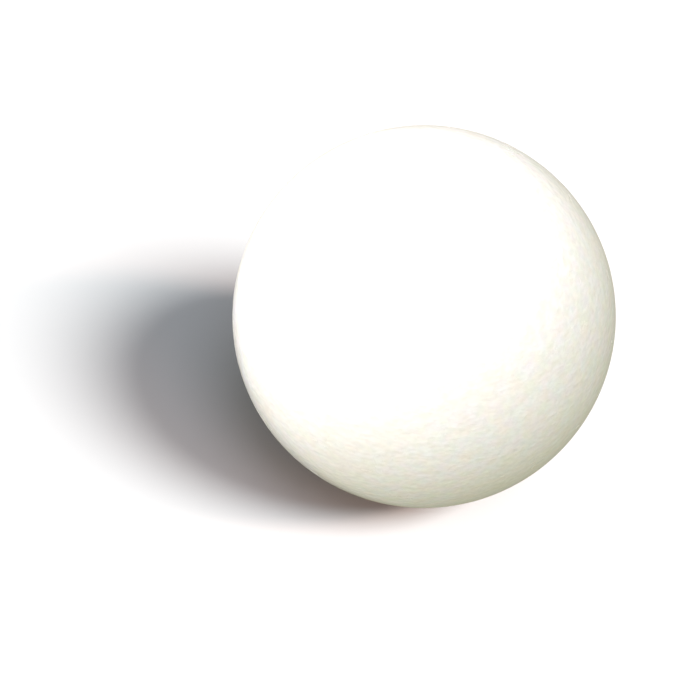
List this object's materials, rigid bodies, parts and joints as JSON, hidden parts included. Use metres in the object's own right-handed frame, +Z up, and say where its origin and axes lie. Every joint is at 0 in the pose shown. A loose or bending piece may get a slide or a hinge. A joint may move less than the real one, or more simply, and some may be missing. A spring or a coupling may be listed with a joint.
{
  "type": "cue ball",
  "caption": "Plain off-white cue ball for pool: a solid, polished resin sphere of regulation size.",
  "frame": {"origin": "centre of the ball, which is also its centre of mass", "axes": "+Z up, away from the cloth that the ball stands on; X and Y are free, because the ball looks the same from every side"},
  "size_m": [0.0572, 0.0572, 0.0572],
  "materials": {
    "cast_resin": "cast phenolic resin, ground and polished, warm off-white with a faint mottle and a fine grain in the polish"
  },
  "bodies": {
    "root": {"ball": "cast_resin"}
  },
  "joints": []
}
